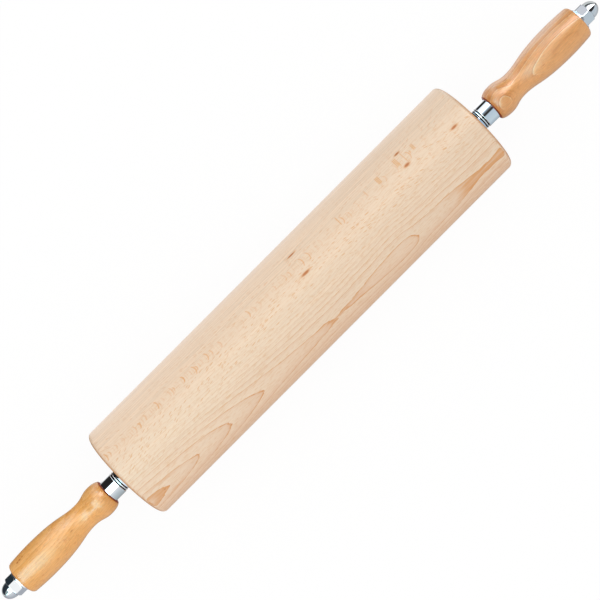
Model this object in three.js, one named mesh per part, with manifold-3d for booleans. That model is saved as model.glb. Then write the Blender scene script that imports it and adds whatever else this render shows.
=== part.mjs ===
// A baker's rolling pin: a beech barrel that turns on ball bearings between two fixed handles.
//
// A straight axle passes through the barrel. Each end of the barrel holds a pressed-in bearing cup, and
// caged balls run between that cup and a cone on the axle. Outside the bearing the axle carries a lock
// ring, a ferrule, a turned handle, a washer and a domed cap nut. All of these are clamped together, so
// the handles stay still in the hands while the barrel rolls.
//
// Units are millimetres. X runs along the axle, Z is up, and the origin is the middle of the barrel.

import * as THREE from "three";
import { mergeVertices } from "three/addons/utils/BufferGeometryUtils.js";
import Module from "manifold-3d";

const wasm = await Module();
wasm.setup();

// Barrel
const BARREL_LENGTH = 400;
const BARREL_DIAMETER = 88.5;
const BARREL_EDGE_RADIUS = 4;
const AXLE_TUNNEL_CLEARANCE = 1;

// Axle
const AXLE_DIAMETER = 10;
const AXLE_CHAMFER = 1;
const AXLE_END_GAP = 0.6;

// Bearing
const BALL_DIAMETER = 5;
const BALL_COUNT = 8;
const RACE_CLEARANCE = 0.3;
const CONE_NOSE_WALL = 1.5;
const CONE_NOSE_LENGTH = 1.6;
const CONE_RACE_ANGLE = 58;
const CONE_SHOULDER_LENGTH = 3.5;
const CONE_NECK_STEP = 1;
const CUP_WALL = 2.7;
const CUP_FLOOR = 2;
const CUP_FLOOR_CLEARANCE = 2.5;
const CUP_FLANGE_WIDTH = 2.5;
const CUP_FLANGE_THICKNESS = 1.2;
const CAGE_RIM = 0.9;
const CAGE_FINGER_REACH = 0.8;
const CAGE_TO_CONE_GAP = 0.5;
const CAGE_TO_CUP_GAP = 0.7;
const CAGE_TO_CAP_GAP = 0.6;

// Dust cap: the bright nose beside the barrel
const CAP_NOSE_HEIGHT = 6.4;
const CAP_WALL = 0.9;
const CAP_CORNER_RADIUS = 0.8;
const CAP_FLANGE_WIDTH = 1.8;
const CAP_SKIRT_LENGTH = 2.2;

// Lock ring
const LOCK_RING_WIDTH = 4.2;
const LOCK_RING_THICKNESS = 1.8;
const LOCK_RING_EDGE_RADIUS = 0.4;

// Ferrule and the tenon inside it
const TENON_WALL = 3.3;
const FERRULE_WALL = 1;
const FERRULE_LENGTH = 11;
const FERRULE_CORNER_RADIUS = 0.9;

// Handle: diameters along its turned profile, each with its distance from the shoulder
const HANDLE_LENGTH = 100;
const HANDLE_SHOULDER_WIDTH = 2.6;
const BULB_DIAMETER = 28.9;
const BULB_AT = 10.2;
const NECK_DIAMETER = 23.3;
const NECK_AT = 27.5;
const BELLY_DIAMETER = 32.8;
const BELLY_AT = 77;
const HEEL_DIAMETER = 31;
const HEEL_LENGTH = 3.4;
const HANDLE_END_FLAT_DIAMETER = 25;

// Curves of that profile: how far each end holds its direction, as a share of the curve's length
const SHOULDER_CURVE = { leave: 0.15, swell: 0.5, arrive: 0.5 };
const WAIST_CURVE = { leave: 0.42, arrive: 0.5 };
const BELLY_CURVE = { leave: 0.28, arrive: 0.67 };
const HEEL_CURVE = { leave: 0.45, drop: 0.7, arrive: 0.2 };

// Washer
const WASHER_WIDTH = 4.8;
const WASHER_THICKNESS = 2;
const WASHER_EDGE_CHAMFER = 0.3;

// Cap nut
const NUT_HEX_HEIGHT = 8;
const NUT_DOME_HEIGHT = 9.8;
const NUT_DOME_WALL = 1.9;
const NUT_DOME_COLLAR = 1.4;
const NUT_HEX_STEP = 1.4;
const NUT_CHAMFER_ANGLE = 30;
const NUT_BORE_INTO_DOME = 3.6;
const NUT_TURN_RIGHT = -5;
const NUT_TURN_LEFT = 23;

// Clearances: pressed or screwed fits, seats of clamped faces, and running gaps
const FIT_GAP = 0.2;
const SEAT_GAP = 0.1;
const RUNNING_GAP = 0.4;
const LOCK_RING_GAP = 0.6;

// Fineness of the facets: sides round the axle, and steps along an outline's curves
const BARREL_SIDES = 32;
const HANDLE_SIDES = 28;
const FITTING_SIDES = 24;
const CAGE_SIDES = 2 * BALL_COUNT;
const BALL_DETAIL = 1;
const EDGE_STEPS = 1;
const BARREL_EDGE_STEPS = 2;
const RACE_STEPS = 2;
const DOME_STEPS = 3;
const PROFILE_STEPS = 5;

// How far a cutting shape runs past the face that it cuts
const CUT_OVERRUN = 1;

// Radii worked out from the axle outwards
const axleRadius = AXLE_DIAMETER / 2;
const boreRadius = axleRadius + FIT_GAP;
const ballRadius = BALL_DIAMETER / 2;
const raceRadius = ballRadius + RACE_CLEARANCE;
const coneNoseRadius = boreRadius + CONE_NOSE_WALL;
const pitchRadius = coneNoseRadius + raceRadius;
const coneRaceSweep = THREE.MathUtils.degToRad(CONE_RACE_ANGLE);
const coneShoulderRadius = pitchRadius - raceRadius * Math.cos(coneRaceSweep);
const coneNeckRadius = coneShoulderRadius - CONE_NECK_STEP;
const cupBoreRadius = pitchRadius + raceRadius;
const cupRadius = cupBoreRadius + CUP_WALL;
const cupFlangeRadius = cupRadius + CUP_FLANGE_WIDTH;
const capBoreRadius = coneNeckRadius + RUNNING_GAP;
const capNoseRadius = coneShoulderRadius + RUNNING_GAP + CAP_WALL;
const tenonRadius = boreRadius + TENON_WALL;
const ferruleRadius = tenonRadius + FIT_GAP + FERRULE_WALL;
const domeRadius = boreRadius + NUT_DOME_WALL;
const nutFlatRadius = domeRadius + NUT_HEX_STEP;

// Stations along the axle, counted outwards from the end face of the barrel
const ballCircleAt = -(CAP_SKIRT_LENGTH + CAGE_TO_CAP_GAP + CAGE_RIM + raceRadius);
const cupFloorAt = ballCircleAt - raceRadius - CUP_FLOOR;
const lockRingAt = CAP_NOSE_HEIGHT + LOCK_RING_GAP;
const ferruleAt = lockRingAt + LOCK_RING_THICKNESS + SEAT_GAP;
const handleAt = ferruleAt + FERRULE_LENGTH + SEAT_GAP;
const washerAt = handleAt + HANDLE_LENGTH + SEAT_GAP;
const nutAt = washerAt + WASHER_THICKNESS + SEAT_GAP;
const nutBoreDepth = NUT_HEX_HEIGHT + NUT_BORE_INTO_DOME;
const axleEndAt = nutAt + nutBoreDepth - AXLE_END_GAP;

const beech = new THREE.MeshStandardMaterial({ color: 0xead0b2, roughness: 0.6, metalness: 0 });
const lacqueredBeech = new THREE.MeshStandardMaterial({ color: 0xdca468, roughness: 0.25, metalness: 0 });
const chrome = new THREE.MeshStandardMaterial({ color: 0xdfe2e5, roughness: 0.08, metalness: 1 });
const bearingSteel = new THREE.MeshStandardMaterial({ color: 0xb4b6b8, roughness: 0.25, metalness: 1 });

// A turned piece: a closed outline of radius and distance along the axle, spun about the axle.
// Its flats touch the true round, so a flat faces down and widths across flats are the real ones.
function turned(outline, sides = FITTING_SIDES, curveSteps = EDGE_STEPS) {
  const cornerScale = 1 / Math.cos(Math.PI / sides);
  const points = outline.getPoints(curveSteps);
  for (const point of points) point.x *= cornerScale;
  return new THREE.LatheGeometry(points, sides, Math.PI / sides);
}

// The same geometry as a solid for joining and cutting.
function toSolid(geometry) {
  const positions = geometry.clone();
  positions.deleteAttribute("normal");
  positions.deleteAttribute("uv");
  const merged = mergeVertices(positions);
  const corners = merged.index.array;
  const triangles = [];
  for (let i = 0; i < corners.length; i += 3) {
    const triangle = [corners[i], corners[i + 1], corners[i + 2]];
    if (new Set(triangle).size === 3) triangles.push(...triangle);
  }
  return new wasm.Manifold(new wasm.Mesh({
    numProp: 3,
    vertProperties: merged.attributes.position.array,
    triVerts: Uint32Array.from(triangles),
  }));
}

function toGeometry(solid) {
  const mesh = solid.getMesh();
  const geometry = new THREE.BufferGeometry();
  geometry.setAttribute("position", new THREE.BufferAttribute(mesh.vertProperties, 3));
  geometry.setIndex(new THREE.BufferAttribute(mesh.triVerts, 1));
  geometry.computeVertexNormals();
  return geometry;
}

function piece(name, geometry, material) {
  const mesh = new THREE.Mesh(geometry, material);
  mesh.name = name;
  return mesh;
}

// The roller, with softened rims, a tunnel for the axle and a stepped pocket for a bearing in each end.
function barrelGeometry() {
  const end = BARREL_LENGTH / 2;
  const radius = BARREL_DIAMETER / 2;
  const rim = radius - BARREL_EDGE_RADIUS;
  const tunnel = axleRadius + AXLE_TUNNEL_CLEARANCE;
  const pocket = cupRadius + FIT_GAP;
  const pocketFloor = end + cupFloorAt - SEAT_GAP;
  const recess = cupFlangeRadius + FIT_GAP;
  const recessFloor = end - CUP_FLANGE_THICKNESS - SEAT_GAP;
  const outline = new THREE.Path();
  outline.moveTo(recess, -end);
  outline.lineTo(rim, -end);
  outline.absarc(rim, -end + BARREL_EDGE_RADIUS, BARREL_EDGE_RADIUS, -Math.PI / 2, 0);
  outline.absarc(rim, end - BARREL_EDGE_RADIUS, BARREL_EDGE_RADIUS, 0, Math.PI / 2);
  outline.lineTo(recess, end);
  outline.lineTo(recess, recessFloor);
  outline.lineTo(pocket, recessFloor);
  outline.lineTo(pocket, pocketFloor);
  outline.lineTo(tunnel, pocketFloor);
  outline.lineTo(tunnel, -pocketFloor);
  outline.lineTo(pocket, -pocketFloor);
  outline.lineTo(pocket, -recessFloor);
  outline.lineTo(recess, -recessFloor);
  outline.closePath();
  return turned(outline, BARREL_SIDES, BARREL_EDGE_STEPS);
}

// The through rod, chamfered where the cap nuts start on it.
function axleGeometry() {
  const end = BARREL_LENGTH / 2 + axleEndAt;
  const outline = new THREE.Path();
  outline.moveTo(0, -end);
  outline.lineTo(axleRadius - AXLE_CHAMFER, -end);
  outline.lineTo(axleRadius, -end + AXLE_CHAMFER);
  outline.lineTo(axleRadius, end - AXLE_CHAMFER);
  outline.lineTo(axleRadius - AXLE_CHAMFER, end);
  outline.lineTo(0, end);
  return turned(outline);
}

// The outer race: a flanged cup whose floor runs up into its wall in the round of the balls.
function bearingCupGeometry() {
  const floor = -raceRadius - CUP_FLOOR;
  const face = -ballCircleAt;
  const floorHole = axleRadius + CUP_FLOOR_CLEARANCE;
  const outline = new THREE.Path();
  outline.moveTo(floorHole, floor);
  outline.lineTo(cupRadius, floor);
  outline.lineTo(cupRadius, face - CUP_FLANGE_THICKNESS);
  outline.lineTo(cupFlangeRadius, face - CUP_FLANGE_THICKNESS);
  outline.lineTo(cupFlangeRadius, face);
  outline.lineTo(cupBoreRadius, face);
  outline.absarc(pitchRadius, 0, raceRadius, 0, -Math.PI / 2, true);
  outline.lineTo(floorHole, -raceRadius);
  outline.closePath();
  return turned(outline, FITTING_SIDES, RACE_STEPS);
}

// Middle of each ball, in the plane of the ball circle.
function ballCentres() {
  const centres = [];
  for (let i = 0; i < BALL_COUNT; i += 1) {
    const angle = (2 * Math.PI * i) / BALL_COUNT;
    centres.push(new THREE.Vector3(pitchRadius * Math.sin(angle), 0, pitchRadius * Math.cos(angle)));
  }
  return centres;
}

// The crown-shaped retainer: a rim with fingers that close round the balls.
function ballCageGeometry() {
  const inner = coneShoulderRadius + CAGE_TO_CONE_GAP;
  const outer = cupBoreRadius - CAGE_TO_CUP_GAP;
  const rimEnd = raceRadius + CAGE_RIM;
  const outline = new THREE.Path();
  outline.moveTo(inner, -CAGE_FINGER_REACH);
  outline.lineTo(outer, -CAGE_FINGER_REACH);
  outline.lineTo(outer, rimEnd);
  outline.lineTo(inner, rimEnd);
  outline.closePath();
  let cage = toSolid(turned(outline, CAGE_SIDES));
  for (const centre of ballCentres()) {
    const pocket = new THREE.IcosahedronGeometry(raceRadius, BALL_DETAIL);
    pocket.translate(centre.x, centre.y, centre.z);
    cage = cage.subtract(toSolid(pocket));
  }
  return toGeometry(cage);
}

// The inner race: a nose under the balls, the round of the race, a shoulder, and a neck to the lock ring.
function bearingConeGeometry() {
  const raceLip = raceRadius * Math.sin(coneRaceSweep);
  const shoulderEnd = raceLip + CONE_SHOULDER_LENGTH;
  const neckEnd = lockRingAt - SEAT_GAP - ballCircleAt;
  const outline = new THREE.Path();
  outline.moveTo(boreRadius, -CONE_NOSE_LENGTH);
  outline.lineTo(coneNoseRadius, -CONE_NOSE_LENGTH);
  outline.absarc(pitchRadius, 0, raceRadius, Math.PI, Math.PI - coneRaceSweep, true);
  outline.lineTo(coneShoulderRadius, shoulderEnd);
  outline.lineTo(coneNeckRadius, shoulderEnd);
  outline.lineTo(coneNeckRadius, neckEnd);
  outline.lineTo(boreRadius, neckEnd);
  outline.closePath();
  return turned(outline, FITTING_SIDES, RACE_STEPS);
}

// The cap over the bearing: a skirt in the cup's mouth, a flange on the cup and a drawn nose.
function dustCapGeometry() {
  const skirtRadius = cupBoreRadius - FIT_GAP;
  const flangeRadius = skirtRadius + CAP_FLANGE_WIDTH;
  const hollowRadius = capNoseRadius - CAP_WALL;
  const flangeTop = SEAT_GAP + CAP_WALL;
  const outline = new THREE.Path();
  outline.moveTo(skirtRadius - CAP_WALL, -CAP_SKIRT_LENGTH);
  outline.lineTo(skirtRadius, -CAP_SKIRT_LENGTH);
  outline.lineTo(skirtRadius, SEAT_GAP);
  outline.lineTo(flangeRadius, SEAT_GAP);
  outline.lineTo(flangeRadius, flangeTop);
  outline.lineTo(capNoseRadius, flangeTop);
  outline.absarc(capNoseRadius - CAP_CORNER_RADIUS, CAP_NOSE_HEIGHT - CAP_CORNER_RADIUS,
    CAP_CORNER_RADIUS, 0, Math.PI / 2);
  outline.lineTo(capBoreRadius, CAP_NOSE_HEIGHT);
  outline.lineTo(capBoreRadius, CAP_NOSE_HEIGHT - CAP_WALL);
  outline.lineTo(hollowRadius, CAP_NOSE_HEIGHT - CAP_WALL);
  outline.lineTo(hollowRadius, SEAT_GAP);
  outline.lineTo(skirtRadius - CAP_WALL, SEAT_GAP);
  outline.closePath();
  return turned(outline);
}

// The thin ring screwed against the cone, with both rims rounded.
function lockRingGeometry() {
  const radius = boreRadius + LOCK_RING_WIDTH;
  const rim = radius - LOCK_RING_EDGE_RADIUS;
  const outline = new THREE.Path();
  outline.moveTo(boreRadius, 0);
  outline.lineTo(rim, 0);
  outline.absarc(rim, LOCK_RING_EDGE_RADIUS, LOCK_RING_EDGE_RADIUS, -Math.PI / 2, 0);
  outline.absarc(rim, LOCK_RING_THICKNESS - LOCK_RING_EDGE_RADIUS, LOCK_RING_EDGE_RADIUS, 0, Math.PI / 2);
  outline.lineTo(boreRadius, LOCK_RING_THICKNESS);
  outline.closePath();
  return turned(outline);
}

// The drawn cup that keeps the handle's tenon from splitting.
function ferruleGeometry() {
  const inner = ferruleRadius - FERRULE_WALL;
  const corner = ferruleRadius - FERRULE_CORNER_RADIUS;
  const outline = new THREE.Path();
  outline.moveTo(boreRadius, 0);
  outline.lineTo(corner, 0);
  outline.absarc(corner, FERRULE_CORNER_RADIUS, FERRULE_CORNER_RADIUS, -Math.PI / 2, 0);
  outline.lineTo(ferruleRadius, FERRULE_LENGTH);
  outline.lineTo(inner, FERRULE_LENGTH);
  outline.lineTo(inner, FERRULE_WALL);
  outline.lineTo(boreRadius, FERRULE_WALL);
  outline.closePath();
  return turned(outline);
}

// A curve of the handle's profile between two points where the profile runs level.
function levelCurve(outline, from, to, { leave, arrive }) {
  const leaveAt = THREE.MathUtils.lerp(from.y, to.y, leave);
  const arriveAt = THREE.MathUtils.lerp(to.y, from.y, arrive);
  outline.bezierCurveTo(from.x, leaveAt, to.x, arriveAt, to.x, to.y);
}

// The turned grip: a small bulb at the ferrule, a waist for the fingers, a long belly and a rounded heel.
function handleGeometry() {
  const tenonEnd = -(FERRULE_LENGTH - FERRULE_WALL);
  const shoulder = new THREE.Vector2(ferruleRadius + HANDLE_SHOULDER_WIDTH, 0);
  const bulb = new THREE.Vector2(BULB_DIAMETER / 2, BULB_AT);
  const neck = new THREE.Vector2(NECK_DIAMETER / 2, NECK_AT);
  const belly = new THREE.Vector2(BELLY_DIAMETER / 2, BELLY_AT);
  const heel = new THREE.Vector2(HEEL_DIAMETER / 2, HANDLE_LENGTH - HEEL_LENGTH);
  const swell = new THREE.Vector2(
    THREE.MathUtils.lerp(shoulder.x, bulb.x, SHOULDER_CURVE.swell), bulb.y * SHOULDER_CURVE.leave);
  const taper = new THREE.Vector2(
    THREE.MathUtils.lerp(belly.x, heel.x, HEEL_CURVE.drop),
    THREE.MathUtils.lerp(heel.y, belly.y, HEEL_CURVE.arrive));
  const heelSlope = (heel.x - taper.x) / (heel.y - taper.y);
  const outline = new THREE.Path();
  outline.moveTo(boreRadius, tenonEnd);
  outline.lineTo(tenonRadius, tenonEnd);
  outline.lineTo(tenonRadius, 0);
  outline.lineTo(shoulder.x, shoulder.y);
  outline.bezierCurveTo(swell.x, swell.y, bulb.x, bulb.y * (1 - SHOULDER_CURVE.arrive), bulb.x, bulb.y);
  levelCurve(outline, bulb, neck, WAIST_CURVE);
  levelCurve(outline, neck, belly, BELLY_CURVE);
  const levelEnd = THREE.MathUtils.lerp(belly.y, heel.y, HEEL_CURVE.leave);
  outline.bezierCurveTo(belly.x, levelEnd, taper.x, taper.y, heel.x, heel.y);
  outline.quadraticCurveTo(
    heel.x + heelSlope * HEEL_LENGTH, HANDLE_LENGTH, HANDLE_END_FLAT_DIAMETER / 2, HANDLE_LENGTH);
  outline.lineTo(boreRadius, HANDLE_LENGTH);
  outline.closePath();
  return turned(outline, HANDLE_SIDES, PROFILE_STEPS);
}

function washerGeometry() {
  const radius = boreRadius + WASHER_WIDTH;
  const outline = new THREE.Path();
  outline.moveTo(boreRadius, 0);
  outline.lineTo(radius, 0);
  outline.lineTo(radius, WASHER_THICKNESS - WASHER_EDGE_CHAMFER);
  outline.lineTo(radius - WASHER_EDGE_CHAMFER, WASHER_THICKNESS);
  outline.lineTo(boreRadius, WASHER_THICKNESS);
  outline.closePath();
  return turned(outline);
}

// A hexagon chamfered at both ends, with a domed top over a blind bore.
function capNutGeometry() {
  const cornerRadius = nutFlatRadius / Math.cos(Math.PI / 6);
  const chamfer = (cornerRadius - nutFlatRadius) * Math.tan(THREE.MathUtils.degToRad(NUT_CHAMFER_ANGLE));
  const blank = new THREE.Path();
  blank.moveTo(0, 0);
  blank.lineTo(nutFlatRadius, 0);
  blank.lineTo(cornerRadius, chamfer);
  blank.lineTo(cornerRadius, NUT_HEX_HEIGHT - chamfer);
  blank.lineTo(nutFlatRadius, NUT_HEX_HEIGHT);
  blank.lineTo(0, NUT_HEX_HEIGHT);
  const dome = new THREE.Path();
  const domeStart = NUT_HEX_HEIGHT + NUT_DOME_COLLAR;
  dome.moveTo(0, NUT_HEX_HEIGHT - CUT_OVERRUN);
  dome.lineTo(domeRadius, NUT_HEX_HEIGHT - CUT_OVERRUN);
  dome.absellipse(0, domeStart, domeRadius, NUT_DOME_HEIGHT - NUT_DOME_COLLAR, 0, Math.PI / 2);
  const bore = new THREE.Path();
  bore.moveTo(0, -CUT_OVERRUN);
  bore.lineTo(boreRadius, -CUT_OVERRUN);
  bore.lineTo(boreRadius, nutBoreDepth);
  bore.lineTo(0, nutBoreDepth);
  const hexHeight = NUT_HEX_HEIGHT + 2 * CUT_OVERRUN;
  const hexagon = new THREE.CylinderGeometry(cornerRadius, cornerRadius, hexHeight, 6);
  hexagon.translate(0, NUT_HEX_HEIGHT / 2, 0);
  const body = toSolid(hexagon).intersect(toSolid(turned(blank)));
  const domed = body.add(toSolid(turned(dome, FITTING_SIDES, DOME_STEPS)));
  return toGeometry(domed.subtract(toSolid(turned(bore))));
}

// Everything at one end of the pin, stacked outwards from the end face of the barrel.
function endAssembly(side, nutTurn) {
  const end = new THREE.Group();
  const bearing = new THREE.Group();
  bearing.position.y = ballCircleAt;
  bearing.add(piece(`bearing_cup_${side}`, bearingCupGeometry(), bearingSteel));
  bearing.add(piece(`ball_cage_${side}`, ballCageGeometry(), bearingSteel));
  bearing.add(piece(`bearing_cone_${side}`, bearingConeGeometry(), bearingSteel));
  ballCentres().forEach((centre, index) => {
    const sphere = new THREE.IcosahedronGeometry(ballRadius, BALL_DETAIL);
    const ball = piece(`ball_${side}_${index + 1}`, sphere, bearingSteel);
    ball.position.copy(centre);
    bearing.add(ball);
  });
  end.add(bearing);
  end.add(piece(`dust_cap_${side}`, dustCapGeometry(), chrome));

  const stack = [
    [`lock_ring_${side}`, lockRingGeometry(), chrome, lockRingAt],
    [`ferrule_${side}`, ferruleGeometry(), chrome, ferruleAt],
    [`handle_${side}`, handleGeometry(), lacqueredBeech, handleAt],
    [`washer_${side}`, washerGeometry(), chrome, washerAt],
    [`cap_nut_${side}`, capNutGeometry(), chrome, nutAt],
  ];
  for (const [name, geometry, material, at] of stack) {
    const mesh = piece(name, geometry, material);
    mesh.position.y = at;
    end.add(mesh);
  }
  end.getObjectByName(`cap_nut_${side}`).rotation.y = THREE.MathUtils.degToRad(nutTurn);
  return end;
}

const rightEnd = endAssembly("right", NUT_TURN_RIGHT);
rightEnd.position.y = BARREL_LENGTH / 2;

const leftEnd = endAssembly("left", NUT_TURN_LEFT);
leftEnd.position.y = -BARREL_LENGTH / 2;
leftEnd.rotation.z = Math.PI;

// The pieces are turned about Y, and this group lays the finished pin along X.
const alongX = new THREE.Group();
alongX.rotation.z = -Math.PI / 2;
alongX.add(piece("barrel", barrelGeometry(), beech));
alongX.add(piece("axle", axleGeometry(), bearingSteel));
alongX.add(leftEnd, rightEnd);

const rollingPin = new THREE.Group();
rollingPin.add(alongX);

export default rollingPin;
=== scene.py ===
# A baker's rolling pin: beech barrel on ball bearings, lacquered handles, chromed fittings.
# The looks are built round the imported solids, in metres, with the pin's axle along X.
import math

import bmesh
import bpy
from mathutils import Matrix, Vector


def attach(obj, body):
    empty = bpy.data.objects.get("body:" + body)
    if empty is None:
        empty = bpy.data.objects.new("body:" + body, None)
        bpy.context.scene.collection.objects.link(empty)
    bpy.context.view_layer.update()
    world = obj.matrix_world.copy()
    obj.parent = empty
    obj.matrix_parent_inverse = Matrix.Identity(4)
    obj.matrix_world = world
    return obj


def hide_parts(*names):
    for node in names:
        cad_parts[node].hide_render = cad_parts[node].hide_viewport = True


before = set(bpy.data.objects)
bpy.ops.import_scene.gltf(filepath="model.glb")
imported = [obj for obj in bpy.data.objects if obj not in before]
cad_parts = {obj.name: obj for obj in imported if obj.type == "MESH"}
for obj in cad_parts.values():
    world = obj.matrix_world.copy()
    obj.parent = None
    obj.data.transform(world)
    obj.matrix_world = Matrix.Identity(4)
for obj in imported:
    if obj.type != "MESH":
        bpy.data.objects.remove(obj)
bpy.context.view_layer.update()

MM = 0.001
SIDES = {"left": -1, "right": 1}

# Sizes of the solids in millimetres; distances along the axle count from the barrel's end face
BARREL_HALF = 200
BARREL_RADIUS = 44.25
BARREL_EDGE = 4
TUNNEL_RADIUS = 6
POCKET_RADIUS = 15.2
POCKET_FLOOR = -11.4
RECESS_RADIUS = 17.7
RECESS_FLOOR = -1.3
AXLE_RADIUS = 5
AXLE_END = 133.2
BORE_RADIUS = 5.2
BALL_CIRCLE_AT = -6.5
BALL_RADIUS = 2.5
BALL_COUNT = 8
PITCH_RADIUS = 9.5
RACE_RADIUS = 2.8
CUP_RADIUS = 15
CUP_FLANGE_RADIUS = 17.5
CUP_FLANGE_THICKNESS = 1.2
CUP_FLOOR = -11.3
CUP_FLOOR_HOLE = 7.5
CONE_SHOULDER_RADIUS = 8.016
CONE_SHOULDER_END = -0.63
CONE_NECK_RADIUS = 7.016
CONE_NECK_END = 6.9
CONE_NOSE_LENGTH = 1.6
CAP_SKIRT_RADIUS = 12.1
CAP_SKIRT_END = -2.2
CAP_FLANGE_RADIUS = 13.9
CAP_NOSE_RADIUS = 9.316
CAP_BORE_RADIUS = 7.416
CAP_WALL = 0.9
SEAT_GAP = 0.1
NOSE_LIP = 6.0
GROOVE_START = 6.1
GROOVE_RADIUS = 8.7
RING_RIM = 8.0
LOCK_RING_AT = 7.0
LOCK_RING_RADIUS = 9.4
LOCK_RING_THICKNESS = 1.8
FERRULE_AT = 8.9
FERRULE_RADIUS = 9.7
FERRULE_LENGTH = 11
FERRULE_WALL = 1
HANDLE_AT = 20
HANDLE_LENGTH = 100
TENON_RADIUS = 8.5
TENON_LENGTH = 10
SHOULDER_RADIUS = 12.3
BULB = (10.2, 14.45)
NECK = (27.5, 11.65)
BELLY = (77, 16.4)
HEEL = (96.6, 15.5)
END_FLAT_RADIUS = 12.5
WASHER_AT = 120.1
WASHER_RADIUS = 10
WASHER_THICKNESS = 2
NUT_AT = 122.2
NUT_HEX_HEIGHT = 8
NUT_FLAT_RADIUS = 8.25
NUT_CORNER_RADIUS = 9.45
NUT_CHAMFER = 0.76
NUT_DOME_RADIUS = 7.35
NUT_DOME_COLLAR = 1.0
NUT_DOME_HEIGHT = 9.8
NUT_BORE_DEPTH = 11.6
NUT_EASING = 0.35
NUT_FLAT_TURN = {"left": -7, "right": 30}

# Fineness of the turned pieces
BARREL_FACETS = 256
HANDLE_FACETS = 192
FITTING_FACETS = 144
NUT_FACETS = 288
ROUND_STEPS = 6
CURVE_STEPS = 28
CREASE = math.radians(32)

# Kinds of node
MATH = "ShaderNodeMath"
VECTOR = "ShaderNodeVectorMath"
MIX = "ShaderNodeMix"
MIX_SHADER = "ShaderNodeMixShader"
RANGE = "ShaderNodeMapRange"
RAMP = "ShaderNodeValToRGB"
CURVE = "ShaderNodeFloatCurve"
NOISE = "ShaderNodeTexNoise"
CELLS = "ShaderNodeTexVoronoi"
MAPPING = "ShaderNodeMapping"
PLACE = "ShaderNodeTexCoord"
AXES = "ShaderNodeSeparateXYZ"
COMBINE = "ShaderNodeCombineXYZ"
CHANNELS = "ShaderNodeSeparateColor"
RAY = "ShaderNodeLightPath"
BUMP = "ShaderNodeBump"
PRINCIPLED = "ShaderNodeBsdfPrincipled"
EMISSION = "ShaderNodeEmission"
BACKGROUND = "ShaderNodeBackground"
GIVEN = "NodeGroupInput"
TRANSFORM = "GeometryNodeTransform"
SHADE_SMOOTH = "GeometryNodeSetShadeSmooth"

# What a kind is always set to, where its inputs and the output taken from it are if not in plain order,
# and the kinds whose outputs go by name; a range has its value, from low, from high, to low, to high
ALWAYS = {MIX: {"data_type": "RGBA"}}
ORDER = {MIX: (0, 6, 7), CURVE: (1,)}
TAKEN = {MIX: 2}
BY_NAME = (PLACE, AXES, CHANNELS, CELLS, RAY, GIVEN)
SMOOTH = {"interpolation_type": "SMOOTHSTEP"}
MILLIMETRES = (1000, 1000, 1000)


def linear(hex_colour):
    """An sRGB hex colour as linear RGBA."""
    channels = [int(hex_colour[i:i + 2], 16) / 255 for i in (1, 3, 5)]
    return [c / 12.92 if c <= 0.04045 else ((c + 0.055) / 1.055) ** 2.4 for c in channels] + [1.0]


def add(tree, kind, inputs=(), operation=None, out=None, stops=(), points=(), **settings):
    """Adds one node and gives the output that is taken from it, or all of them by name.

    Inputs are sockets, hex colours or values, in the node's order or by name.
    A ramp has stops, a curve points.
    """
    node = tree.nodes.new(kind)
    for name, value in {**ALWAYS.get(kind, {}), **settings}.items():
        setattr(node, name, value)
    if operation:
        node.operation = operation
    if not isinstance(inputs, dict):
        inputs = dict(zip(ORDER.get(kind, range(len(inputs))), inputs))
    for key, value in inputs.items():
        if isinstance(value, bpy.types.NodeSocket):
            tree.links.new(value, node.inputs[key])
        else:
            node.inputs[key].default_value = linear(value) if isinstance(value, str) else value
    for index, (position, colour) in enumerate(stops):
        elements = node.color_ramp.elements
        element = elements[index] if index < 2 else elements.new(position)
        element.position = position
        element.color = linear(colour)
    for index, (x, y) in enumerate(points):
        curve = node.mapping.curves[0].points
        point = curve[index] if index < 2 else curve.new(x, y)
        point.location = (x, y)
    if points:
        node.mapping.update()
    if kind in BY_NAME or not node.outputs:
        return node.outputs
    return node.outputs[TAKEN.get(kind, 0) if out is None else out]


def blank_material(name):
    """A new material with an empty node tree."""
    material = bpy.data.materials.new(name)
    material.use_nodes = True
    material.node_tree.nodes.clear()
    return material, material.node_tree


def streaks(tree, place, sizes, detail, roughness=0.5, out="Fac"):
    """Noise drawn out along the grain, by its sizes along and across it in millimetres."""
    scaled = add(tree, MAPPING, {"Vector": place, "Scale": [1 / size for size in sizes]})
    return add(tree, NOISE, {
        "Vector": scaled, "Scale": 1, "Detail": detail, "Roughness": roughness}, out=out)


def ray_dashes(tree, sheet, thinned, edge, strength=1.0):
    """Rays cut across: oval cells on a stretched skin, each of its own size."""
    rays = add(tree, CELLS, {"Vector": sheet, "Scale": 1})
    lot = add(tree, CHANNELS, [rays["Color"]])
    size = add(tree, RANGE, [lot[0], thinned, 1, 0.0, 0.5])
    dash = add(tree, MATH, [size, rays["Distance"]], "SUBTRACT")
    return add(tree, RANGE, [dash, 0, edge, 0, strength], **SMOOTH)


def off_mark(tree, skin, x, round_at, half_length, half_width):
    """Offset on the unrolled skin from the middle of a mark, in its half lengths and half widths."""
    off = add(tree, VECTOR, [skin, (x, round_at, 0)], "SUBTRACT")
    return add(tree, VECTOR, [off, (1 / half_length, 1 / half_width, 0)], "MULTIPLY")


def facing_ends(tree, place):
    """How far the surface faces along the grain: 0 on the sides and 1 on the ends."""
    facing = add(tree, AXES, [place["Normal"]])["X"]
    return add(tree, MATH, [facing], "ABSOLUTE")


# Growth of the barrel's log: the pith lies in front of the barrel, past the tongues of flat-sawn grain
PITH_ANGLE = -43.4
PITH_DISTANCE = 136
DRIFT_RANGE = 20
GRIP_DRIFT_RANGE = 10
FLECK_ANGLE = math.radians(71)
DASH_LEAN = 0.001
RAY_WIDTH = 0.9
RAY_REACH = 8

# Length and width of the cells that hold a dash each, in millimetres
DASH_CELL = (5, 1)
GRIP_DASH_CELL = (3.6, 0.85)

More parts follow.
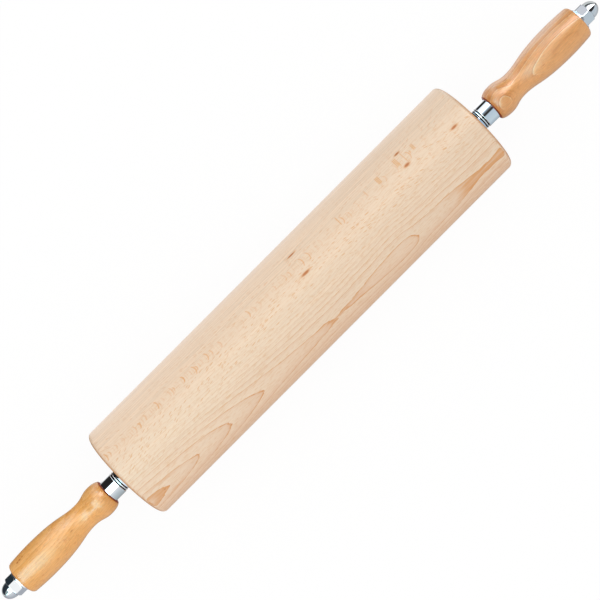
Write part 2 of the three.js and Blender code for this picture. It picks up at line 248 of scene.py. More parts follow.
# How far the pith line drifts along the barrel: millimetres along it, and millimetres of growth
PITH_DRIFT = (
    (-200, 0.0), (-179, 0.87), (-146, 2.5), (-108, 5.15), (-73, 7.8), (-49, 9.15), (-26, 9.83), (0, 10.3),
    (13, 10.45), (32, 10.3), (63, 9.76), (83, 9.41), (95, 9.69), (100, 10.12), (103, 10.45), (111, 10.85),
    (142, 11.49), (160, 12.1), (176, 12.42), (200, 12.08),
)

# Widths of the rings: from and to which growth, and the width, all in millimetres
RING_BANDS = ((-46.4, 2.5, 1.63), (2.5, 10.45, 2.65), (10.45, 230.45, 2.2))

# Where the ray flecks lie thick along the barrel: millimetres along it, and their strength
FLECK_STRENGTH = (
    (-200, 0.8), (-180, 0.7), (-150, 1.0), (-90, 0.9), (-66, 0.5), (-50, 0.15), (-36, 0.8), (-26, 0.3),
    (0, 0.45), (30, 0.7), (45, 0.3), (62, 0.15), (72, 0.9), (84, 0.3), (100, 0.2), (112, 0.6),
    (122, 0.15), (134, 0.7), (150, 0.6), (160, 0.15), (200, 0.2),
)

# Rows of ray flecks: spacing, least and most half height, bend, half width in millimetres, and strength
FLECK_ROWS = ((8, 2.6, 4.8, 1.8, 0.95, 0.8), (2.4, 1.2, 3.2, 0.2, 0.7, 0.34))

# Patches of upright ray flecks: along the barrel, degrees round it from the top, half length, half height
FLECK_PATCHES = (
    (130.2, 31.3, 1.9, 4.4), (137.4, 30.0, 0.5, 5.2), (148.5, 30.7, 1.4, 3.0), (110.5, 31.6, 1.9, 3.6),
    (65.5, 31.0, 0.7, 4.6), (96.0, 31.0, 0.5, 3.2),
)
FLECK_STEP = 1.25

# Pin knots: along the barrel, degrees round it from the top, half length, half width
PIN_KNOTS = (
    (20.0, 42.9, 4.4, 0.85), (18.1, 15.6, 4.6, 1.2), (135.8, 38.5, 2.8, 1.0), (134.8, 20.6, 3.0, 1.3),
    (181.8, 13.5, 3.4, 1.15), (-181.7, -43.0, 0.6, 0.5),
)


def oiled_beech():
    """Steamed beech, sanded and oiled: pale rings with thin dark lines, orange ray flecks, satin gloss."""
    material, tree = blank_material("Beech, sanded and oiled")
    place = add(tree, PLACE)
    log = add(tree, MAPPING, {
        "Vector": place["Object"], "Scale": MILLIMETRES, "Rotation": (math.radians(PITH_ANGLE), 0, 0)})

    # Slow waves of the trunk and small waves of its rings
    slow = streaks(tree, log, (110, 28, 28), 1, out="Color")
    slow = add(tree, VECTOR, [slow, (0, 0.6, 0.6), (0, -0.3, -0.3)], "MULTIPLY_ADD")
    fine = streaks(tree, log, (14, 4, 4), 2, out="Color")
    fine = add(tree, VECTOR, [fine, (0, 0.5, 0.5), (0, -0.25, -0.25)], "MULTIPLY_ADD")
    waved = add(tree, VECTOR, [log, slow], "ADD")
    waved = add(tree, VECTOR, [waved, fine], "ADD")

    # Angle round the barrel from the flat-sawn line, and distance from where the rays lie in the surface
    raw = add(tree, AXES, [log])
    angle = add(tree, MATH, [raw["Y"], raw["Z"]], "ARCTAN2")
    either = add(tree, MATH, [angle], "ABSOLUTE")
    away = add(tree, MATH, [either, FLECK_ANGLE], "SUBTRACT")
    away = add(tree, MATH, [away, BARREL_RADIUS], "MULTIPLY")
    half_turn = add(tree, MATH, [either, math.pi], "DIVIDE")
    along = add(tree, RANGE, [raw["X"], -BARREL_HALF, BARREL_HALF])

    # Growth rings: distance from the pith line, which drifts along the barrel
    axes = add(tree, AXES, [waved])
    depth = add(tree, MATH, [PITH_DISTANCE, axes["Z"]], "SUBTRACT")
    spoke = add(tree, COMBINE, {"Y": axes["Y"], "Z": depth})
    growth = add(tree, VECTOR, [spoke], "LENGTH", out="Value")
    drift = add(tree, CURVE, [along], points=[
        (0.5 + x / BARREL_HALF / 2, grown / DRIFT_RANGE) for x, grown in PITH_DRIFT])
    growth = add(tree, MATH, [drift, DRIFT_RANGE, growth], "MULTIPLY_ADD")
    growth = add(tree, MATH, [growth, PITH_DISTANCE - BARREL_RADIUS], "SUBTRACT")
    rings = 0
    for start, end, width in RING_BANDS:
        band = add(tree, RANGE, [growth, start, end, 0, (end - start) / width])
        rings = add(tree, MATH, [band, rings], "ADD")
    share = add(tree, MATH, [rings], "FRACT")
    colour = add(tree, RAMP, [share], stops=(
        (0.0, "#e9d2b8"), (1.0, "#e0c0a3"), (0.5, "#e7ceb4"), (0.85, "#e4c8ad")))

    # Late wood: a thin line closes each ring, clear on flat-sawn tongues, faint where rings stand on edge
    late = add(tree, CURVE, [share], points=(
        (0.0, 0.45), (1.0, 0.8), (0.015, 0.0), (0.84, 0.0), (0.92, 0.18), (0.955, 0.7), (0.98, 1.0)))
    flat_sawn = add(tree, CURVE, [half_turn], points=(
        (0.0, 1.0), (1.0, 0.4), (0.1, 0.95), (0.16, 0.7), (0.22, 0.5), (0.3, 0.3), (0.38, 0.12),
        (0.43, 0.3), (0.5, 0.5), (0.6, 0.55)))
    colour = add(tree, MIX, [flat_sawn, "#e7ceb4", colour])
    late = add(tree, MATH, [late, flat_sawn], "MULTIPLY")
    broken = streaks(tree, log, (6, 1.5, 1.5), 1)
    broken = add(tree, RANGE, [broken, 0.36, 0.56, 0.45])
    late = add(tree, MATH, [late, broken], "MULTIPLY")
    colour = add(tree, MIX, [late, colour, "#d3965f"])

    # Darker heartwood colour in the late wood of the tongues at both ends
    stain = add(tree, RANGE, [share, 0.4, 0.78], **SMOOTH)
    at_ends = add(tree, CURVE, [along], points=(
        (0.0, 0.9), (1.0, 1.0), (0.06, 0.8), (0.11, 0.0), (0.82, 0.0), (0.9, 0.85)))
    in_tongue = add(tree, RANGE, [either, math.radians(15), math.radians(8)])
    stain = add(tree, MATH, [stain, at_ends], "MULTIPLY")
    stain = add(tree, MATH, [stain, in_tongue], "MULTIPLY")
    smear = streaks(tree, log, (34, 2.2, 2.2), 3)
    smear = add(tree, RANGE, [smear, 0.3, 0.62, 0.35])
    stain = add(tree, MATH, [stain, smear], "MULTIPLY")
    colour = add(tree, MIX, [stain, colour, "#d8995b"])

    # Tone of each ring and along the barrel, and long fibres, drawn coarser than the real 0.1 mm to show
    number = add(tree, MATH, [rings], "FLOOR")
    tone = add(tree, "ShaderNodeTexWhiteNoise", {"W": number}, noise_dimensions="1D")
    tone = add(tree, RANGE, [tone, 0, 1, 0.98, 1.01])
    fibre = streaks(tree, log, (34, 1.3, 1.3), 3, roughness=0.6)
    streak = add(tree, RANGE, [fibre, 0.32, 0.68, 0.98, 1.02])
    tone = add(tree, MATH, [tone, streak], "MULTIPLY")
    upper = add(tree, RANGE, [away, 1, 9, 0, 0.36])
    drawn = streaks(tree, waved, (60, 0.9, 0.9), 1)
    drawn = add(tree, MATH, [drawn, 0.5], "SUBTRACT")
    drawn = add(tree, MATH, [drawn, upper, 1], "MULTIPLY_ADD")
    tone = add(tree, MATH, [tone, drawn], "MULTIPLY")
    hair = streaks(tree, waved, (6, 0.8, 0.8), 2, roughness=0.6)
    hair = add(tree, RANGE, [hair, 0.5, 0.3, 0, 0.6])
    calm = add(tree, RANGE, [away, 0, 10, 1.0, 0.3])
    hair = add(tree, MATH, [hair, calm], "MULTIPLY")
    colour = add(tree, MIX, [hair, colour, "#daad7d"])
    lengthwise = add(tree, RANGE, [along, 0, 1, 1.035, 0.985])
    tone = add(tree, MATH, [tone, lengthwise], "MULTIPLY")
    colour = add(tree, VECTOR, {0: colour, "Scale": tone}, "SCALE")

    # Warmer heartwood past the flat-sawn line, partly painted shade: one side of the barrel is tinted darker
    # and pinker
    heartwood_and_shade = add(tree, RANGE, [angle, math.radians(8), math.radians(-24)])
    colour = add(tree, MIX, [heartwood_and_shade, colour, "#fff4ed"], blend_type="MULTIPLY")

    # Rays on edge: thin dashes about 3 mm long that lean along the grain
    flat = add(tree, MATH, [angle, BARREL_RADIUS], "MULTIPLY")
    lean = add(tree, MATH, [away], "SIGN")
    lean = add(tree, MATH, [lean, -DASH_LEAN], "MULTIPLY")
    lean = add(tree, MATH, [lean, raw["X"]], "MULTIPLY")
    lean = add(tree, MATH, [lean, raw["X"], flat], "MULTIPLY_ADD")
    sheet = add(tree, COMBINE, {"X": raw["X"], "Y": lean})
    sheet = add(tree, VECTOR, [sheet, (1 / DASH_CELL[0], 1 / DASH_CELL[1], 0)], "MULTIPLY")
    dash = ray_dashes(tree, sheet, 0.3, 0.1)
    near = add(tree, RANGE, [away, -50, 50])
    dashes_here = add(tree, CURVE, [near], points=(
        (0.0, 0.12), (1.0, 0.08), (0.125, 0.15), (0.25, 0.45), (0.36, 0.65), (0.44, 0.6), (0.47, 0.3),
        (0.5, 0.12), (0.53, 0.3), (0.56, 0.45), (0.64, 0.35), (0.75, 0.2)))
    dash = add(tree, MATH, [dash, dashes_here], "MULTIPLY")
    colour = add(tree, MIX, [dash, colour, "#d8a067"])

    # Ray flecks: bowed slips a few millimetres tall in a row, with fine ticks between them
    there = add(tree, CURVE, [along], points=[
        (0.5 + x / BARREL_HALF / 2, strength) for x, strength in FLECK_STRENGTH])
    for spacing, low, high, bend, width, strength in FLECK_ROWS:
        step = add(tree, MATH, [raw["X"], 1 / spacing], "MULTIPLY")
        slips = add(tree, CELLS, {"W": step, "Scale": 1}, voronoi_dimensions="1D")
        lot = add(tree, CHANNELS, [slips["Color"]])
        beside = add(tree, MATH, [step, slips["W"]], "SUBTRACT")
        beside = add(tree, MATH, [beside, spacing], "MULTIPLY")
        tall = add(tree, RANGE, [lot[0], 0, 1, low, high])
        lift = add(tree, RANGE, [lot[1], 0, 1, -1.1, 1.1])
        reach = add(tree, MATH, [away, lift], "ADD")
        reach = add(tree, MATH, [reach, tall], "DIVIDE")
        square = add(tree, MATH, [reach, reach], "MULTIPLY")
        bow = add(tree, MATH, [square, bend, beside], "MULTIPLY_ADD")
        bow = add(tree, MATH, [bow], "ABSOLUTE")
        slip = add(tree, RANGE, [bow, width, 0.2], **SMOOTH)
        ends = add(tree, RANGE, [square, 1.0, 0.7])
        slip = add(tree, MATH, [slip, ends], "MULTIPLY")
        slip = add(tree, MATH, [slip, there], "MULTIPLY")
        vary = add(tree, RANGE, [lot[2], 0, 1, 0.3 * strength, strength])
        slip = add(tree, MATH, [slip, vary], "MULTIPLY")
        colour = add(tree, MIX, [slip, colour, "#dd9c56"])

    # Upright flecks in patches
    skin = add(tree, COMBINE, {"X": axes["X"], "Y": flat})
    comb = add(tree, MATH, [axes["X"], 2 * math.pi / FLECK_STEP], "MULTIPLY")
    comb = add(tree, MATH, [comb], "SINE")
    comb = add(tree, RANGE, [comb, -0.8, 0.6, 0.3, 0.75])
    for x, degrees, half_length, half_height in FLECK_PATCHES:
        round_at = math.radians(degrees - PITH_ANGLE) * BARREL_RADIUS
        off = off_mark(tree, skin, x, round_at, half_length, half_height)
        off = add(tree, VECTOR, [off], "ABSOLUTE")
        off = add(tree, AXES, [off])
        off = add(tree, MATH, [off["X"], off["Y"]], "MAXIMUM")
        patch = add(tree, RANGE, [off, 1.2, 0.75])
        patch = add(tree, MATH, [patch, comb], "MULTIPLY")
        colour = add(tree, MIX, [patch, colour, "#dca263"])

    # Pin knots
    for x, degrees, half_length, half_width in PIN_KNOTS:
        round_at = math.radians(degrees - PITH_ANGLE) * BARREL_RADIUS
        off = off_mark(tree, skin, x, round_at, half_length, half_width)
        off = add(tree, VECTOR, [off], "LENGTH", out="Value")
        halo = add(tree, RANGE, [off, 1.7, 0.9, 0, 0.6])
        colour = add(tree, MIX, [halo, colour, "#d79c62"])
        knot = add(tree, RANGE, [off, 1.2, 0.4], **SMOOTH)
        colour = add(tree, MIX, [knot, colour, "#b46a33"])

    # End grain: rings cut across, the rays as fine lines towards the pith, and darker as it drinks more oil
    facing = facing_ends(tree, place)
    cut = add(tree, RAMP, [share], stops=(
        (0.0, "#eed9c0"), (1.0, "#c99f78"), (0.7, "#e4c9ab"), (0.9, "#cda57e")))
    turn = add(tree, MATH, [axes["Y"], depth], "ARCTAN2")
    turn = add(tree, MATH, [turn, PITH_DISTANCE / RAY_WIDTH], "MULTIPLY")
    outward = add(tree, MATH, [growth, RAY_REACH], "DIVIDE")
    star = add(tree, COMBINE, {"X": turn, "Y": outward})
    star = add(tree, NOISE, {"Vector": star, "Scale": 1, "Detail": 2})
    star = add(tree, RANGE, [star, 0.3, 0.7, 0.9, 1.08])
    cut = add(tree, VECTOR, {0: cut, "Scale": star}, "SCALE")
    end_face = add(tree, RANGE, [facing, 0.9, 0.985])
    colour = add(tree, MIX, [end_face, colour, cut])
    end_grain = add(tree, RANGE, [facing, 0.3, 0.95], **SMOOTH)
    colour = add(tree, MIX, [end_grain, colour, "#d9b48c"], blend_type="MULTIPLY")

    gloss = add(tree, RANGE, [fibre, 0, 1, 0.32, 0.46])
    bump = add(tree, BUMP, {"Height": fibre, "Strength": 0.12, "Distance": 0.0001})
    shader = add(tree, PRINCIPLED, {
        "Base Color": colour, "Roughness": gloss, "Normal": bump, "Specular IOR Level": 0.5, "IOR": 1.5,
    })
    add(tree, "ShaderNodeOutputMaterial", {"Surface": shader})
    return material


def lacquered_beech(name, stops, ring_angle, ring_width, outer_width, ring_start, drift, wave,
                    dash_strength, coat_haze, specks):
    """Beech under clear gloss lacquer, which deepens it to amber: soft rings below a hard, shining skin."""
    material, tree = blank_material(name)
    place = add(tree, PLACE)
    plain = add(tree, MAPPING, {"Vector": place["Object"], "Scale": MILLIMETRES})
    log = add(tree, MAPPING, {"Vector": plain, "Rotation": (math.radians(ring_angle), 0, 0)})
    wobble = streaks(tree, log, (24, 7, 7), 3)
    axes = add(tree, AXES, [log])
    along = add(tree, MATH, [axes["X"]], "ABSOLUTE")
    shoulder = BARREL_HALF + HANDLE_AT
    along = add(tree, RANGE, [along, shoulder, shoulder + HANDLE_LENGTH])
    drifted = add(tree, CURVE, [along], points=drift)
    growth = add(tree, MATH, [drifted, GRIP_DRIFT_RANGE, axes["Z"]], "MULTIPLY_ADD")
    growth = add(tree, MATH, [wobble, wave, growth], "MULTIPLY_ADD")
    growth = add(tree, MATH, [growth, ring_start + wave / 2 + GRIP_DRIFT_RANGE / 2], "SUBTRACT")
    inner = add(tree, MATH, [growth, 0], "MINIMUM")
    inner = add(tree, MATH, [inner, ring_width], "DIVIDE")
    outer = add(tree, MATH, [growth, 0], "MAXIMUM")
    rings = add(tree, MATH, [outer, 1 / outer_width, inner], "MULTIPLY_ADD")
    share = add(tree, MATH, [rings], "FRACT")
    colour = add(tree, RAMP, [share], stops=stops)
    sides = add(tree, AXES, [plain])
    angle = add(tree, MATH, [sides["Y"], sides["Z"]], "ARCTAN2")
    quiet = add(tree, RANGE, [angle, math.radians(-8), math.radians(-36), 0, 0.85])
    colour = add(tree, MIX, [quiet, colour, stops[3][1]])

    # Fibres and the dashes of the rays
    fibre = streaks(tree, log, (9, 0.75, 0.75), 3, roughness=0.65)
    tone = add(tree, RANGE, [fibre, 0.3, 0.7, 0.83, 1.13])
    colour = add(tree, VECTOR, {0: colour, "Scale": tone}, "SCALE")
    flat = add(tree, MATH, [angle, BELLY[1]], "MULTIPLY")
    skin = add(tree, COMBINE, {"X": sides["X"], "Y": flat})
    sheet = add(tree, MAPPING, {"Vector": skin, "Scale": (1 / GRIP_DASH_CELL[0], 1 / GRIP_DASH_CELL[1], 0)})
    dash = ray_dashes(tree, sheet, 0.2, 0.12, dash_strength)
    colour = add(tree, MIX, [dash, colour, "#cc7832"])

    # The waist is made paler: painted light that offsets the shade in its hollow
    waist_painted_light = add(tree, CURVE, [along], points=(
        (0.0, 0.5), (1.0, 0.5), (0.12, 0.5), (0.27, 0.525), (0.42, 0.515), (0.6, 0.5)))
    waist_painted_light = add(tree, MATH, [waist_painted_light, 2], "MULTIPLY")
    colour = add(tree, VECTOR, {0: colour, "Scale": waist_painted_light}, "SCALE")

    # Brown specks, each a short streak along the grain
    for x, degrees, half_length, half_width in specks:
        off = off_mark(tree, skin, x, math.radians(degrees) * BELLY[1], half_length, half_width)
        off = add(tree, VECTOR, [off], "LENGTH", out="Value")
        speck = add(tree, RANGE, [off, 1.3, 0.5, 0, 0.8])
        colour = add(tree, MIX, [speck, colour, "#b05a1c"])

    # End grain takes up the lacquer: amber brown at the outer end, and red-brown at the shoulder, where the
    # end grain also carries painted shade from the gap by the ferrule
    facing = facing_ends(tree, place)
    rim = add(tree, RANGE, [along, 0.4, 0.6, 0.72, 0.5])
    end_grain = add(tree, RANGE, [facing, rim, 0.95], **SMOOTH)
    outer = add(tree, RANGE, [along, 0.4, 0.6])
    end_grain_and_shade_colour = add(tree, MIX, [outer, "#b26028", "#dab288"])
    colour = add(tree, MIX, [end_grain, colour, end_grain_and_shade_colour], blend_type="MULTIPLY")
    skin_left = add(tree, RANGE, [end_grain, 0, 1, 1.0, 0.1])

    bump = add(tree, BUMP, {"Height": fibre, "Strength": 0.08, "Distance": 0.0001})
    gloss = add(tree, RANGE, [fibre, 0, 1, 0.4, 0.55])
    shader = add(tree, PRINCIPLED, {
        "Base Color": colour, "Roughness": gloss, "Normal": bump, "Specular IOR Level": 0.2, "IOR": 1.5,
        "Coat Weight": skin_left, "Coat Roughness": coat_haze, "Coat IOR": 1.68,
    })
    add(tree, "ShaderNodeOutputMaterial", {"Surface": shader})
    return material


def plated_metal(name, colour, shade, grain, low, high, brushed):
    """Polished or ground steel: mirror-like, with faint turning lines round the axle and a little haze."""
    material, tree = blank_material(name)
    place = add(tree, PLACE)["Object"]
    lines = add(tree, MAPPING, {"Vector": place, "Scale": (1 / grain / MM, 40, 40)})
    lines = add(tree, NOISE, {"Vector": lines, "Scale": 1, "Detail": 2})
    haze = add(tree, NOISE, {"Vector": place, "Scale": 240, "Detail": 3})
    rough = add(tree, RANGE, [haze, 0.3, 0.7, low, high])
    tint = add(tree, MIX, [haze, colour, shade])
    bump = add(tree, BUMP, {"Height": lines, "Strength": brushed, "Distance": 0.00002})
    shader = add(tree, PRINCIPLED, {
        "Base Color": tint, "Metallic": 1.0, "Roughness": rough, "Normal": bump})
    add(tree, "ShaderNodeOutputMaterial", {"Surface": shader})
    return material


def geometry_tree(name, sockets):
    """A new Geometry Nodes tree with inputs by name and kind, and the outputs of its input node."""
    tree = bpy.data.node_groups.new(name, "GeometryNodeTree")
    for socket, kind in sockets.items():
        tree.interface.new_socket(socket, in_out="INPUT", socket_type="NodeSocket" + kind)
    tree.interface.new_socket("Piece", in_out="OUTPUT", socket_type="NodeSocketGeometry")
    return tree, add(tree, GIVEN)


def hand_over(tree, shape, finish):
    """Ends a Geometry Nodes tree: the shape as real faces, in its material."""
    real = add(tree, "GeometryNodeRealizeInstances", [shape])
    painted = add(tree, "GeometryNodeSetMaterial", {0: real, "Material": finish})
    add(tree, "NodeGroupOutput", [painted])
    return tree


def turning_tree():
    """Spins an outline about the axle, as a lathe does, and keeps edges past the crease angle crisp."""
    tree, given = geometry_tree("turned on a lathe", {
        "Outline": "Geometry", "Facets": "Int", "Crease": "Float", "Finish": "Material"})
    path_radius = 10 * MM
    outline = add(tree, "GeometryNodeMeshToCurve", [given["Outline"]])
    outline = add(tree, TRANSFORM, {0: outline, "Translation": (-path_radius, 0, 0)})
    path = add(tree, "GeometryNodeCurvePrimitiveCircle", {
        "Resolution": given["Facets"], "Radius": path_radius})
    path = add(tree, "GeometryNodeSetCurveNormal", [path], mode="Z_UP")
    spun = add(tree, "GeometryNodeCurveToMesh", {"Curve": path, "Profile Curve": outline})
    spun = add(tree, TRANSFORM, {0: spun, "Rotation": (0, -math.pi / 2, 0)})
    closed = add(tree, "GeometryNodeMergeByDistance", {0: spun, "Distance": 0.001 * MM})
    smooth = add(tree, SHADE_SMOOTH, {0: closed, "Shade Smooth": True})
    bend = add(tree, "GeometryNodeInputMeshEdgeAngle")
    sharp = add(tree, "FunctionNodeCompare", [bend, given["Crease"]], "GREATER_THAN")
    crisp = add(tree, SHADE_SMOOTH, {0: smooth, 1: sharp, "Shade Smooth": False}, domain="EDGE")
    return hand_over(tree, crisp, given["Finish"])


def milling_tree():
    """Mills six flats on a turned blank: no point stays outside the hexagon, and its corners are eased."""
    tree, given = geometry_tree("milled to a hexagon", {
        "Blank": "Geometry", "Flat radius": "Float", "Flat turn": "Float", "Easing": "Float",
        "Finish": "Material"})
    position = add(tree, "GeometryNodeInputPosition")
    axes = add(tree, AXES, [position])
    angle = add(tree, MATH, [axes["Y"], axes["Z"]], "ARCTAN2")
    angle = add(tree, MATH, [angle, given["Flat turn"]], "SUBTRACT")
    angle = add(tree, MATH, [angle, math.pi / 6, -math.pi / 6], "WRAP")
    limit = add(tree, MATH, [angle], "COSINE")
    limit = add(tree, MATH, [given["Flat radius"], limit], "DIVIDE")
    across = add(tree, VECTOR, [position, (0, 1, 1)], "MULTIPLY")
    radius = add(tree, VECTOR, [across], "LENGTH", out="Value")
    milled = add(tree, MATH, [radius, limit, given["Easing"]], "SMOOTH_MIN")
    radius = add(tree, MATH, [radius, 0.001 * MM], "MAXIMUM")
    share = add(tree, MATH, [milled, radius], "DIVIDE")
    across = add(tree, VECTOR, {0: across, "Scale": share}, "SCALE")
    lengthwise = add(tree, VECTOR, [position, (1, 0, 0)], "MULTIPLY")
    moved = add(tree, VECTOR, [across, lengthwise], "ADD")
    shaped = add(tree, "GeometryNodeSetPosition", {0: given["Blank"], "Position": moved})
    return hand_over(tree, shaped, given["Finish"])


def ball_ring_tree():
    """Sets the balls of a bearing round the axle."""
    tree, given = geometry_tree("ring of bearing balls", {
        "Start": "Geometry", "Balls": "Int", "Pitch radius": "Float", "Ball radius": "Float",
        "Along axle": "Float", "Finish": "Material"})
    places = add(tree, "GeometryNodeMeshCircle", {
        "Vertices": given["Balls"], "Radius": given["Pitch radius"]})
    ball = add(tree, "GeometryNodeMeshIcoSphere", {"Radius": given["Ball radius"], "Subdivisions": 4})
    ball = add(tree, SHADE_SMOOTH, {0: ball, "Shade Smooth": True})
    ring = add(tree, "GeometryNodeInstanceOnPoints", {"Points": places, "Instance": ball})
    shift = add(tree, COMBINE, {"X": given["Along axle"]})
    ring = add(tree, TRANSFORM, {0: ring, "Translation": shift, "Rotation": (0, math.pi / 2, 0)})
    return hand_over(tree, ring, given["Finish"])


def made_by(name, start, steps):
    """Runs a start mesh through Geometry Nodes trees, each with its inputs, and returns the plain piece."""
    piece = bpy.data.objects.new(name, start)
    bpy.context.scene.collection.objects.link(piece)
    for tree, inputs in steps:
        modifier = piece.modifiers.new(tree.name, "NODES")
        modifier.node_group = tree
        for item in tree.interface.items_tree:
            if item.in_out == "INPUT" and item.name in inputs:
                modifier[item.identifier] = inputs[item.name]
    bpy.context.view_layer.update()
    shaped = piece.evaluated_get(bpy.context.evaluated_depsgraph_get())
    mesh = bpy.data.meshes.new_from_object(shaped)
    piece.modifiers.clear()
    piece.data = mesh
    mesh.name = name
    skin = bmesh.new()
    skin.from_mesh(mesh)
    bmesh.ops.recalc_face_normals(skin, faces=skin.faces)
    skin.to_mesh(mesh)
    skin.free()
    return piece


def rounded(corners):
    """A closed outline through corners (along the axle, radius, corner radius), with short straights."""
    points = []
    for index, (x, r, corner) in enumerate(corners):
        here = Vector((x, r))
        if not corner:
            points.append(here)
            continue
        before = (Vector(corners[index - 1][:2]) - here).normalized()
        after = (Vector(corners[(index + 1) % len(corners)][:2]) - here).normalized()
        half = before.angle(after) / 2
        reach = corner / math.tan(half)
        centre = here + (before + after).normalized() * corner / math.sin(half)
        first = here + before * reach - centre
        last = here + after * reach - centre
        start = math.atan2(first.y, first.x)
        sweep = (math.atan2(last.y, last.x) - start + math.pi) % (2 * math.pi) - math.pi
        points.append(here + before * reach * 1.25)
        for step in range(ROUND_STEPS + 1):
            turned_to = start + sweep * step / ROUND_STEPS
            points.append(centre + Vector((math.cos(turned_to), math.sin(turned_to))) * corner)
        points.append(here + after * reach * 1.25)
    return points


def bezier(a, b, c, d):
    """Points of a cubic curve after its first point."""
    points = []
    for step in range(1, CURVE_STEPS + 1):
        t = step / CURVE_STEPS
        s = 1 - t
        points.append(Vector(a) * s ** 3 + Vector(b) * 3 * s * s * t + Vector(c) * 3 * s * t * t
                      + Vector(d) * t ** 3)
    return points


def mix(a, b, share):
    """What lies a share of the way from a to b."""
    return a + (b - a) * share


def level_curve(a, b, leave, arrive):
    """A curve between two points where the profile runs level."""
    return bezier(a, (mix(a[0], b[0], leave), a[1]), (mix(b[0], a[0], arrive), b[1]), b)


def handle_outline():
    """The turned grip: tenon, shoulder, bulb, waist, long belly and rounded heel."""
    swell = (BULB[0] * 0.22, mix(SHOULDER_RADIUS, BULB[1], 0.55))
    taper = (mix(HEEL[0], BELLY[0], 0.2), mix(BELLY[1], HEEL[1], 0.7))
    slope = (HEEL[1] - taper[1]) / (HEEL[0] - taper[0])
    corner = (HANDLE_LENGTH, HEEL[1] + slope * (HANDLE_LENGTH - HEEL[0]))
    end_flat = (HANDLE_LENGTH, END_FLAT_RADIUS)
    points = [Vector(p) for p in (
        (-TENON_LENGTH, BORE_RADIUS), (-TENON_LENGTH, TENON_RADIUS), (0, TENON_RADIUS),
        (0, SHOULDER_RADIUS - 2), (0.4, SHOULDER_RADIUS - 0.6), (0.75, SHOULDER_RADIUS),
    )]
    points += bezier((0.75, SHOULDER_RADIUS), swell, (BULB[0] * 0.5, BULB[1]), BULB)
    points += level_curve(BULB, NECK, 0.42, 0.5)
    points += level_curve(NECK, BELLY, 0.28, 0.67)
    points += bezier(BELLY, (mix(BELLY[0], HEEL[0], 0.45), BELLY[1]), taper, HEEL)
    heel = [mix(Vector(HEEL), Vector(corner), 2 / 3), mix(Vector(end_flat), Vector(corner), 2 / 3)]
    points += bezier(HEEL, heel[0], heel[1], end_flat)
    points.append(Vector((HANDLE_LENGTH, END_FLAT_RADIUS - 0.8)))
    points.append(Vector((HANDLE_LENGTH, BORE_RADIUS)))
    return points


def barrel_outline():
    """The roller: softened rims, and in each end a recess, a bearing pocket and the tunnel for the axle."""
    half = [
        (0, BARREL_RADIUS, BARREL_EDGE), (0, RECESS_RADIUS, 0.3), (RECESS_FLOOR, RECESS_RADIUS, 0),
        (RECESS_FLOOR, POCKET_RADIUS, 0), (POCKET_FLOOR, POCKET_RADIUS, 0), (POCKET_FLOOR, TUNNEL_RADIUS, 0),
    ]
    right = [(BARREL_HALF + x, r, corner) for x, r, corner in half]
    left = [(-x, r, corner) for x, r, corner in reversed(right)]
    return rounded(right + left)


def cup_outline():
    """The outer race: a flanged cup whose floor runs up into its wall in the round of the balls."""
    points = [
        (CUP_FLOOR, CUP_FLOOR_HOLE), (CUP_FLOOR, CUP_RADIUS), (-CUP_FLANGE_THICKNESS, CUP_RADIUS),
        (-CUP_FLANGE_THICKNESS, CUP_FLANGE_RADIUS), (-0.3, CUP_FLANGE_RADIUS), (0, CUP_FLANGE_RADIUS - 0.3),
        (0, PITCH_RADIUS + RACE_RADIUS),
    ]
    for step in range(ROUND_STEPS + 1):
        turned_to = -math.pi / 2 * step / ROUND_STEPS
        points.append((BALL_CIRCLE_AT + RACE_RADIUS * math.sin(turned_to),
                       PITCH_RADIUS + RACE_RADIUS * math.cos(turned_to)))
    points.append((BALL_CIRCLE_AT - RACE_RADIUS, CUP_FLOOR_HOLE))
    return [Vector(p) for p in points]


def cone_outline():
    """The inner race: nose, race, shoulder, and the neck that comes out through the dust cap."""
    nose = PITCH_RADIUS - RACE_RADIUS
    sweep = math.acos((PITCH_RADIUS - CONE_SHOULDER_RADIUS) / RACE_RADIUS)
    points = [(BALL_CIRCLE_AT - CONE_NOSE_LENGTH, BORE_RADIUS), (BALL_CIRCLE_AT - CONE_NOSE_LENGTH, nose)]
    for step in range(ROUND_STEPS + 1):
        turned_to = sweep * step / ROUND_STEPS
        points.append((BALL_CIRCLE_AT + RACE_RADIUS * math.sin(turned_to),
                       PITCH_RADIUS - RACE_RADIUS * math.cos(turned_to)))
    points += [
        (CONE_SHOULDER_END, CONE_SHOULDER_RADIUS), (CONE_SHOULDER_END, CONE_NECK_RADIUS),
        (GROOVE_START, CONE_NECK_RADIUS), (GROOVE_START, GROOVE_RADIUS), (CONE_NECK_END, GROOVE_RADIUS),
        (CONE_NECK_END, BORE_RADIUS),
    ]
    return [Vector(p) for p in points]


def dust_cap_outline():
    """The pressed cap over the bearing: skirt, flange and drawn nose."""
    flange_top = SEAT_GAP + CAP_WALL
    hollow = CAP_NOSE_RADIUS - CAP_WALL
    skirt_inside = CAP_SKIRT_RADIUS - CAP_WALL
    return rounded([
        (CAP_SKIRT_END, skirt_inside, 0), (CAP_SKIRT_END, CAP_SKIRT_RADIUS, 0.2),
        (SEAT_GAP, CAP_SKIRT_RADIUS, 0), (SEAT_GAP, CAP_FLANGE_RADIUS, 0.15),
        (flange_top, CAP_FLANGE_RADIUS, 0.3), (flange_top, CAP_NOSE_RADIUS, 0.5),
        (NOSE_LIP, CAP_NOSE_RADIUS, 0.25), (NOSE_LIP, CAP_BORE_RADIUS, 0.15),
        (NOSE_LIP - CAP_WALL, CAP_BORE_RADIUS, 0), (NOSE_LIP - CAP_WALL, hollow, 0), (SEAT_GAP, hollow, 0),
        (SEAT_GAP, skirt_inside, 0),
    ])


def lock_ring_outline():
    """The thin ring against the cone, with rounded rims."""
    return rounded([
        (LOCK_RING_AT, BORE_RADIUS, 0.1), (LOCK_RING_AT, LOCK_RING_RADIUS, 0.2),
        (RING_RIM, LOCK_RING_RADIUS, 0.2), (RING_RIM, BORE_RADIUS, 0.1),
    ])


